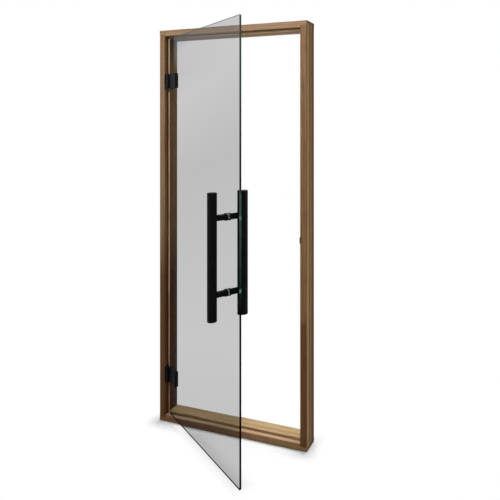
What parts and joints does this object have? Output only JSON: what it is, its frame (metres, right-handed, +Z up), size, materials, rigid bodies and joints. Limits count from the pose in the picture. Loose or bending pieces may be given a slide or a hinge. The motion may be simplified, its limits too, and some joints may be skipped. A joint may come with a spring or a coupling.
{
  "type": "sauna door",
  "caption": "Timber-framed sauna door with a hinged tinted glass leaf standing ajar, square black clamp hinges and a back-to-back black tube pull handle.",
  "frame": {"origin": "centre of the sill's flat underside, at mid width and mid depth of the frame", "axes": "+X along the frame's width from the hinge side to the latch side, -Y out to the side the leaf opens to, +Z up"},
  "size_m": [0.77, 0.4558, 1.89],
  "materials": {
    "rail_wood": "oiled",
    "jamb_wood": "oiled",
    "tinted_glass": "polished",
    "hinge_metal": "satin",
    "handle_metal": "satin",
    "bright_steel": "brushed",
    "gasket_rubber": "matte",
    "washer_plastic": "matte",
    "catch_plastic": "matte"
  },
  "bodies": {
    "frame": {"sill_rail": "rail_wood", "head_rail": "rail_wood", "hinge_jamb": "jamb_wood", "latch_jamb": "jamb_wood", "lower_hinge_bracket": "hinge_metal", "upper_hinge_bracket": "hinge_metal", "lower_hinge_pin": "bright_steel", "upper_hinge_pin": "bright_steel", "lower_hinge_washer": "washer_plastic", "upper_hinge_washer": "washer_plastic", "latch_catch": "catch_plastic"},
    "leaf": {"glass_leaf": "tinted_glass", "lower_clamp_outer_plate": "hinge_metal", "upper_clamp_outer_plate": "hinge_metal", "lower_clamp_inner_plate": "hinge_metal", "upper_clamp_inner_plate": "hinge_metal", "lower_clamp_outer_gasket": "gasket_rubber", "upper_clamp_outer_gasket": "gasket_rubber", "lower_clamp_inner_gasket": "gasket_rubber", "upper_clamp_inner_gasket": "gasket_rubber", "outer_handle_tube": "handle_metal", "inner_handle_tube": "handle_metal", "outer_low_standoff": "handle_metal", "outer_high_standoff": "handle_metal", "inner_low_standoff": "handle_metal", "inner_high_standoff": "handle_metal", "outer_low_washer": "washer_plastic", "outer_high_washer": "washer_plastic", "inner_low_washer": "washer_plastic", "inner_high_washer": "washer_plastic", "low_handle_rod": "bright_steel", "high_handle_rod": "bright_steel"}
  },
  "joints": [
    {"name": "leaf_swing", "type": "hinge", "parent": "frame", "child": "leaf", "pos_m": [-0.337, -0.046, 0.9375], "axis": [0, 0, -1], "range_deg": [-31.3, 78.7]}
  ]
}
